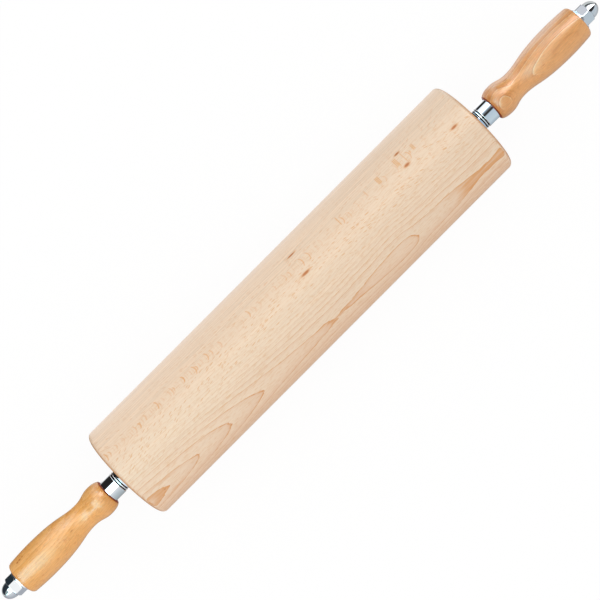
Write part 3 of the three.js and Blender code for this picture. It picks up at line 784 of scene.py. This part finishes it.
def ring_collar_outline():
    """The collar of the ring, turned down behind its rim."""
    end = LOCK_RING_AT + LOCK_RING_THICKNESS
    return rounded([
        (RING_RIM, BORE_RADIUS, 0), (RING_RIM, GROOVE_RADIUS, 0),
        (end, GROOVE_RADIUS, 0), (end, BORE_RADIUS, 0),
    ])


def ferrule_outline():
    """The drawn cup on the handle's tenon."""
    end = FERRULE_AT + FERRULE_LENGTH
    floor = FERRULE_AT + FERRULE_WALL
    inside = FERRULE_RADIUS - FERRULE_WALL
    return rounded([
        (FERRULE_AT, BORE_RADIUS, 0.1), (FERRULE_AT, FERRULE_RADIUS, 0.45), (end, FERRULE_RADIUS, 0.2),
        (end, inside, 0.1), (floor, inside, 0), (floor, BORE_RADIUS, 0.1),
    ])


def washer_outline():
    """The plain washer under the nut."""
    end = WASHER_AT + WASHER_THICKNESS
    return rounded([
        (WASHER_AT, BORE_RADIUS, 0.1), (WASHER_AT, WASHER_RADIUS, 0.25), (end, WASHER_RADIUS, 0.4),
        (end, BORE_RADIUS, 0.1),
    ])


def nut_outline():
    """The nut's turned blank, from the dome's tip to the floor of its bore, fine where the flats run out."""
    points = []
    dome_start = NUT_HEX_HEIGHT + NUT_DOME_COLLAR
    dome_steps = 24
    for step in range(dome_steps + 1):
        lean = math.pi / 2 * step / dome_steps
        height = (NUT_DOME_HEIGHT - NUT_DOME_COLLAR) * math.cos(lean)
        points.append((dome_start + height, NUT_DOME_RADIUS * math.sin(lean)))
    groove = NUT_DOME_RADIUS - 0.4
    points += [(NUT_HEX_HEIGHT + 0.65, NUT_DOME_RADIUS), (NUT_HEX_HEIGHT + 0.5, groove),
               (NUT_HEX_HEIGHT, groove), (NUT_HEX_HEIGHT, NUT_FLAT_RADIUS - 0.5)]
    chamfer_steps = 10
    rise = [step / chamfer_steps for step in range(chamfer_steps + 1)]
    radii = [mix(NUT_FLAT_RADIUS, NUT_CORNER_RADIUS, share) for share in rise]
    points += [(NUT_HEX_HEIGHT - NUT_CHAMFER * share, r) for share, r in zip(rise, radii)]
    straight = 12
    for step in range(1, straight):
        points.append((mix(NUT_HEX_HEIGHT - NUT_CHAMFER, NUT_CHAMFER, step / straight), NUT_CORNER_RADIUS))
    points += [(NUT_CHAMFER * share, r) for share, r in zip(reversed(rise), reversed(radii))]
    points += [(0, NUT_FLAT_RADIUS - 0.5), (0, BORE_RADIUS + 0.4), (0.4, BORE_RADIUS),
               (NUT_BORE_DEPTH, BORE_RADIUS), (NUT_BORE_DEPTH, 0)]
    return [Vector((NUT_AT + x, r)) for x, r in points]


def outline_mesh(name, outline, side, closed):
    """The outline as a chain of edges in the XY plane: X the radius, Y along the axle."""
    points = [(p.y * MM, side * p.x * MM, 0) for p in outline]
    if side < 0:
        points.reverse()
    count = len(points)
    edges = [(i, (i + 1) % count) for i in range(count if closed else count - 1)]
    mesh = bpy.data.meshes.new(name + "_outline")
    mesh.from_pydata(points, edges, [])
    return mesh


TURNED = turning_tree()
MILLED = milling_tree()
BALL_RING = ball_ring_tree()

BEECH = oiled_beech()
CHROME = plated_metal("Chrome plate, polished", "#eef0f2", "#e6e9ec", 0.25, 0.004, 0.01, 0.001)
STEEL = plated_metal("Bearing steel, ground", "#c4c5c6", "#a9abad", 0.15, 0.2, 0.34, 0.12)
# Nearly black steel for the cone's groove and the lock ring's collar: painted shade in the gap between the
# dust cap and the lock ring
GAP_SHADE_STEEL = plated_metal("Steel, darkened as painted gap shade", "#211d1c", "#171413", 0.2, 0.4, 0.55, 0.1)
SATIN = plated_metal("Zinc plate, satin", "#f4f5f6", "#e9ebed", 0.25, 0.12, 0.16, 0.01)
HANDLE_FINISH = {
    "right": lacquered_beech(
        "Beech, amber lacquer, flat grain",
        stops=((0.0, "#e8cca2"), (1.0, "#d8a566"), (0.03, "#e2ba86"), (0.1, "#dc9e5d"), (0.44, "#da9a59"),
               (0.5, "#ce8a48"), (0.56, "#d99856"), (0.68, "#d89553"), (0.74, "#c9823f"), (0.8, "#d69350"),
               (0.94, "#cb8543"), (0.985, "#b97034")),
        ring_angle=-21.2, ring_width=4.4, outer_width=5.0, ring_start=13.4,
        drift=((0.0, 0.46), (1.0, 0.47), (0.036, 0.48), (0.105, 0.525), (0.15, 0.43), (0.2, 0.38),
               (0.28, 0.495), (0.38, 0.53), (0.413, 0.51), (0.46, 0.5), (0.53, 0.485), (0.6, 0.488),
               (0.7, 0.5)),
        wave=0.7, dash_strength=0.4, coat_haze=0.28,
        specks=((272.0, -20.0, 1.6, 0.35), (262.0, -28.0, 1.2, 0.3)),
    ),
    "left": lacquered_beech(
        "Beech, amber lacquer, fine grain",
        stops=((0.0, "#eeb36a"), (1.0, "#e9a95c"), (0.45, "#ecad60"), (0.8, "#e8a656"), (0.93, "#e39f4e")),
        ring_angle=62.0, ring_width=2.1, outer_width=2.6, ring_start=3.1,
        drift=((0.0, 0.5), (1.0, 0.75)),
        wave=3.0, dash_strength=0.5, coat_haze=0.23,
        specks=((-310.5, 47.5, 1.2, 0.9), (-307.8, 48.5, 1.3, 0.9), (-304.6, 50.0, 0.9, 0.6),
                (-261.0, -5.0, 1.4, 0.4)),
    ),
}

ROOT_BODY = "axle_and_handles"


def finish(piece, body, slot, *nodes):
    """Puts a piece on its body, in place of its solids; the slot is not used."""
    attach(piece, body)
    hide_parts(*nodes)


def turn_piece(name, outline, material, facets, side=1, at=0, closed=True, then=()):
    """A piece turned from its outline, which starts at a place along the axle, with any further steps."""
    placed = [p + Vector((at, 0)) for p in outline]
    start = outline_mesh(name, placed, side, closed)
    lathe = (TURNED, {"Facets": facets, "Crease": CREASE, "Finish": material})
    return made_by(name, start, [lathe, *then])


barrel = turn_piece("barrel_turned", barrel_outline(), BEECH, BARREL_FACETS)
finish(barrel, "barrel", "barrel_beech", "barrel")
axle_end = BARREL_HALF + AXLE_END
axle_outline = rounded([
    (-axle_end, 0.001, 0), (-axle_end, AXLE_RADIUS, 1), (axle_end, AXLE_RADIUS, 1), (axle_end, 0.001, 0)])
finish(turn_piece("axle_rod", axle_outline, STEEL, FITTING_FACETS), ROOT_BODY, "bearing_steel", "axle")

FITTINGS = (
    ("bearing_cup", cup_outline(), STEEL, "bearing_steel", "barrel"),
    # The cone's groove, seen between the dust cap and the lock ring, is painted shade in nearly black steel
    ("bearing_cone", cone_outline(), GAP_SHADE_STEEL, "bearing_steel", ROOT_BODY),
    ("dust_cap", dust_cap_outline(), CHROME, "chrome", "barrel"),
    ("lock_ring", lock_ring_outline(), SATIN, "chrome", ROOT_BODY),
    ("ferrule", ferrule_outline(), CHROME, "chrome", ROOT_BODY),
    ("washer", washer_outline(), SATIN, "chrome", ROOT_BODY),
)
for side_name, side in SIDES.items():
    # The ring's collar behind its rim, in nearly black steel: painted shade in the gap
    piece = turn_piece(
        f"lock_ring_{side_name}_collar", ring_collar_outline(), GAP_SHADE_STEEL, FITTING_FACETS, side,
        BARREL_HALF)
    finish(piece, ROOT_BODY, "bearing_steel", f"lock_ring_{side_name}")
    for name, outline, material, slot, body in FITTINGS:
        piece = turn_piece(
            f"{name}_{side_name}_turned", outline, material, FITTING_FACETS, side, BARREL_HALF)
        finish(piece, body, slot, f"{name}_{side_name}")

    piece = turn_piece(
        f"handle_{side_name}_turned", handle_outline(), HANDLE_FINISH[side_name], HANDLE_FACETS, side,
        BARREL_HALF + HANDLE_AT)
    finish(piece, ROOT_BODY, "handle_beech", f"handle_{side_name}")

    flats = (MILLED, {
        "Flat radius": NUT_FLAT_RADIUS * MM, "Flat turn": math.radians(NUT_FLAT_TURN[side_name]),
        "Easing": NUT_EASING * MM, "Finish": CHROME,
    })
    piece = turn_piece(
        f"cap_nut_{side_name}_milled", nut_outline(), CHROME, NUT_FACETS, side, BARREL_HALF, False, [flats])
    finish(piece, ROOT_BODY, "chrome", f"cap_nut_{side_name}")

    balls = made_by(f"balls_{side_name}_ring", bpy.data.meshes.new("ball_start"), [(BALL_RING, {
        "Balls": BALL_COUNT, "Pitch radius": PITCH_RADIUS * MM, "Ball radius": BALL_RADIUS * MM,
        "Along axle": side * (BARREL_HALF + BALL_CIRCLE_AT) * MM, "Finish": STEEL,
    })])
    ball_nodes = [f"ball_{side_name}_{number}" for number in range(1, BALL_COUNT + 1)]
    finish(balls, f"balls_{side_name}", "bearing_steel", *ball_nodes)
    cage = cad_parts[f"ball_cage_{side_name}"]
    cage.data.materials.clear()
    cage.data.materials.append(STEEL)

# Camera: straight above the middle of the pin, with the pin rising to the upper right
CAMERA_HEIGHT = 1.4
CAMERA_LENS = 103.5
CAMERA_ROLL = math.radians(45.06)
camera = bpy.data.objects.new("camera", bpy.data.cameras.new("camera"))
bpy.context.scene.collection.objects.link(camera)
camera.data.lens = CAMERA_LENS
camera.data.sensor_width = 36
camera.matrix_world = Matrix.Translation((0, 0, CAMERA_HEIGHT)) @ Matrix.Rotation(-CAMERA_ROLL, 4, "Z")
bpy.context.scene.camera = camera

# What metal and lacquer mirror: soft boxes and dark flags, by degrees round the axle from the top towards +Y
BOX_STRENGTH = 6


def left_end_boxes(edge, box):
    """Boxes past the left handle, with the colours of one box and its edge."""
    return (
        (-180, "#444444"), (180, "#666666"), (-134, "#4c4e52"), (-100, "#525457"), (-60, "#5d5f62"),
        (-40, "#666666"), (-28, edge), (-22, box), (28, box), (36, "#525252"), (42, "#101317"),
        (120, "#0b1013"), (135, "#3f3f3f"),
    )


LEFT_HEEL_BOXES = left_end_boxes("#777777", "#aadeef")
LEFT_TIP_BOXES = left_end_boxes("#6f6f6f", "#757575")
LEFT_GRIP_BOXES = (
    (-180, "#232323"), (180, "#333333"), (-140, "#3f3f3f"), (-106, "#606060"), (-70, "#8d8d8d"),
    (-50, "#aaaaaa"), (-30, "#adfdff"), (23, "#adfdff"), (33, "#717171"), (43, "#444444"), (56, "#191919"),
    (114, "#101010"), (124, "#191919"), (140, "#333333"),
)
LEFT_FERRULE_BOXES = (
    (-180, "#3f3f3f"), (180, "#898989"), (-150, "#444444"), (-107, "#4e5355"), (-80, "#565a5c"),
    (-50, "#616466"), (-30, "#6e6f6f"), (-22, "#deeff7"), (28, "#deeff7"), (36, "#595959"), (41, "#191919"),
    (48, "#0b0b0b"), (112, "#0b0b0b"), (122, "#232323"), (130, "#6c6c6c"),
)
LEFT_NOSE_BOXES = (
    (-180, "#3f3f3f"), (180, "#0b0b0b"), (-120, "#525252"), (-90, "#63696f"), (-60, "#6c7177"),
    (22, "#747474"), (27, "#171717"), (40, "#0b0b0b"),
)
BARREL_BOXES = (
    (-180, "#494949"), (180, "#8d8d8d"), (-90, "#606060"), (-40, "#666666"), (-15, "#898989"),
    (0, "#a0a0a0"), (30, "#aaaaaa"), (60, "#9c9c9c"), (80, "#7c7c7c"),
)
RIGHT_NOSE_BOXES = (
    (-180, "#333333"), (180, "#0b0b0b"), (-120, "#3f4a4d"), (-90, "#4a5560"), (-20, "#4d5a66"),
    (8, "#525d69"), (22, "#474f59"), (36, "#101010"), (60, "#0b0b0b"),
)
RIGHT_FERRULE_BOXES = (
    (-180, "#444444"), (180, "#b0b0b0"), (-123, "#4e555a"), (-90, "#5b6266"), (-24, "#565e64"),
    (-17, "#565e64"), (-10, "#171717"), (2, "#101010"), (7, "#212121"), (14, "#33383c"), (22, "#494d52"),
    (29, "#606265"), (33, "#9cc4d5"), (62, "#9cc4d5"), (70, "#74777c"), (87, "#74777c"), (90, "#101010"),
    (113, "#080808"), (119, "#595959"), (135, "#7c7c7c"),
)
RIGHT_GRIP_BOXES = (
    (-180, "#2c2c2c"), (180, "#3f3f3f"), (-140, "#3f4245"), (-110, "#52585c"), (-24, "#525960"),
    (-15, "#525960"), (-9, "#232323"), (14, "#1e1e1e"), (24, "#494949"), (34, "#7cb6cb"), (42, "#a0e1ff"),
    (66, "#a0e1ff"), (84, "#9cc6da"), (112, "#8999a3"), (140, "#606060"),
)
RIGHT_TIP_BOXES = (
    (-180, "#131313"), (180, "#131313"), (-168, "#4d4d4d"), (-120, "#525558"), (-90, "#5a5d5f"),
    (-62, "#555b5f"), (-44, "#575b5f"), (-37, "#595f63"), (-32, "#171717"), (3, "#0b0b0b"), (7, "#525252"),
    (12, "#d5d5d5"), (20, "#ffffff"), (42, "#ffffff"), (47, "#7c7c7c"), (51, "#626467"), (64, "#5f6063"),
    (67, "#232323"), (71, "#0b0b0b"), (84, "#0b0b0b"), (88, "#3f3f3f"), (92, "#595d5c"), (130, "#5a5a5a"),
    (168, "#595959"),
)

# Where along the pin, in metres from its middle, each set of boxes starts to be mirrored
BOX_ZONES = (
    (-1, LEFT_HEEL_BOXES), (-0.3345, LEFT_TIP_BOXES), (-0.3215, LEFT_GRIP_BOXES),
    (-0.2216, LEFT_FERRULE_BOXES), (-0.2097, LEFT_NOSE_BOXES), (-0.2016, BARREL_BOXES),
    (0.2016, RIGHT_NOSE_BOXES), (0.2083, RIGHT_FERRULE_BOXES), (0.2216, RIGHT_GRIP_BOXES),
    (0.3215, RIGHT_TIP_BOXES),
)
ZONE_BLEND = 0.0006


def studio_boxes(tree, axes, end):
    """Colour of the boxes in a direction or at a place round the axle, for each zone along the pin."""
    circle = add(tree, MATH, [axes["Y"], axes["Z"]], "ARCTAN2")
    circle = add(tree, RANGE, [circle, -math.pi, math.pi])
    colour = None
    for start, boxes in BOX_ZONES:
        stops = [(0.5 + degrees / 360, level) for degrees, level in boxes]
        here = add(tree, RAMP, [circle], stops=stops)
        if colour is None:
            colour = here
            continue
        past = add(tree, RANGE, [end, start - ZONE_BLEND, start + ZONE_BLEND])
        colour = add(tree, MIX, [past, colour, here])
    return colour


# Floor: matt white paper, shown nearly white to the camera so that only a faint shadow is left; to
# reflections it glows with the studio boxes, a painted reflection
FLOOR_SIZE = 12
FLOOR_GLOW = 0.93
floor_mesh = bpy.data.meshes.new("floor")
half_floor = FLOOR_SIZE / 2
floor_level = -BARREL_RADIUS * MM
floor_mesh.from_pydata(
    [(-half_floor, -half_floor, floor_level), (half_floor, -half_floor, floor_level),
     (half_floor, half_floor, floor_level), (-half_floor, half_floor, floor_level)], [], [(0, 1, 2, 3)])
floor = bpy.data.objects.new("floor", floor_mesh)
bpy.context.scene.collection.objects.link(floor)
paper, tree = blank_material("Studio paper, matt white")
ray = add(tree, RAY)
matt = add(tree, "ShaderNodeBsdfDiffuse", {"Color": "#fcfcfc"})
place = add(tree, PLACE)["Object"]
axes = add(tree, AXES, [place])
beside = add(tree, MATH, [axes["Y"]], "ABSOLUTE")
spread = add(tree, MATH, [beside, 1 / CAMERA_HEIGHT, 1], "MULTIPLY_ADD")
end = add(tree, MATH, [axes["X"], spread], "DIVIDE")
mirrored = studio_boxes(tree, axes, end)

# Past the thick barrel the floor glows to reflections as bright paper behind it and as a dim room before it:
# painted reflection
behind = add(tree, RANGE, [axes["Y"], -0.03, 0.03])
barrel_painted_reflection = add(tree, RAMP, [behind], stops=((0.0, "#444140"), (1.0, "#7a7c80")))
middle = add(tree, MATH, [end], "ABSOLUTE")
middle = add(tree, RANGE, [middle, 0.203, 0.199])
mirrored = add(tree, MIX, [middle, mirrored, barrel_painted_reflection])
painted_reflection_glow = add(tree, EMISSION, {"Color": mirrored, "Strength": BOX_STRENGTH})
seen_glow = add(tree, EMISSION, {"Color": "#ffffff"})
seen = add(tree, MATH, [ray["Is Camera Ray"], ray["Is Transmission Ray"]], "MAXIMUM")
seen = add(tree, MATH, [seen, FLOOR_GLOW], "MULTIPLY")
surface = add(tree, MIX_SHADER, [seen, matt, seen_glow])
surface = add(tree, MIX_SHADER, [ray["Is Glossy Ray"], surface, painted_reflection_glow])
add(tree, "ShaderNodeOutputMaterial", {"Surface": surface})
floor_mesh.materials.append(paper)

# Studio: an even white dome with a soft light overhead
DOME = 0.88
OVERHEAD = 0.44
OVERHEAD_FROM = Vector((0, 0.03, 1)).normalized()
OVERHEAD_FOCUS = 4
world = bpy.data.worlds.new("studio")
bpy.context.scene.world = world
world.use_nodes = True
tree = world.node_tree
tree.nodes.clear()
ray = add(tree, RAY)
direction = add(tree, PLACE)["Generated"]
toward = add(tree, VECTOR, [direction, OVERHEAD_FROM], "DOT_PRODUCT", out="Value")
toward = add(tree, MATH, [toward, 0], "MAXIMUM")
lobe = add(tree, MATH, [toward, OVERHEAD_FOCUS], "POWER")
strength = add(tree, MATH, [lobe, OVERHEAD, DOME], "MULTIPLY_ADD")
soft = add(tree, BACKGROUND, {"Color": "#ffffff", "Strength": strength})
axes = add(tree, AXES, [direction])
slant = add(tree, MATH, [axes["X"]], "ARCSINE")
slant = add(tree, MATH, [slant], "TANGENT")
end = add(tree, MATH, [slant, CAMERA_HEIGHT], "MULTIPLY")
boxes = studio_boxes(tree, axes, end)

# A dull wall past the left end shows in the left nut's dome
past_end = add(tree, RANGE, [axes["X"], -0.46, -0.58])
upper = add(tree, RANGE, [axes["Y"], -0.16, -0.04])
past_end = add(tree, MATH, [past_end, upper], "MULTIPLY")
boxes = add(tree, MIX, [past_end, boxes, "#454b4b"], blend_type="DARKEN")
boxes = add(tree, BACKGROUND, {"Color": boxes, "Strength": BOX_STRENGTH})
backdrop = add(tree, BACKGROUND, {"Color": "#ffffff", "Strength": 1.0})
sky = add(tree, MIX_SHADER, [ray["Is Glossy Ray"], soft, boxes])
seen = add(tree, MATH, [ray["Is Camera Ray"], ray["Is Transmission Ray"]], "MAXIMUM")
sky = add(tree, MIX_SHADER, [seen, sky, backdrop])
add(tree, "ShaderNodeOutputWorld", {"Surface": sky})

bpy.context.scene.view_settings.view_transform = "Standard"
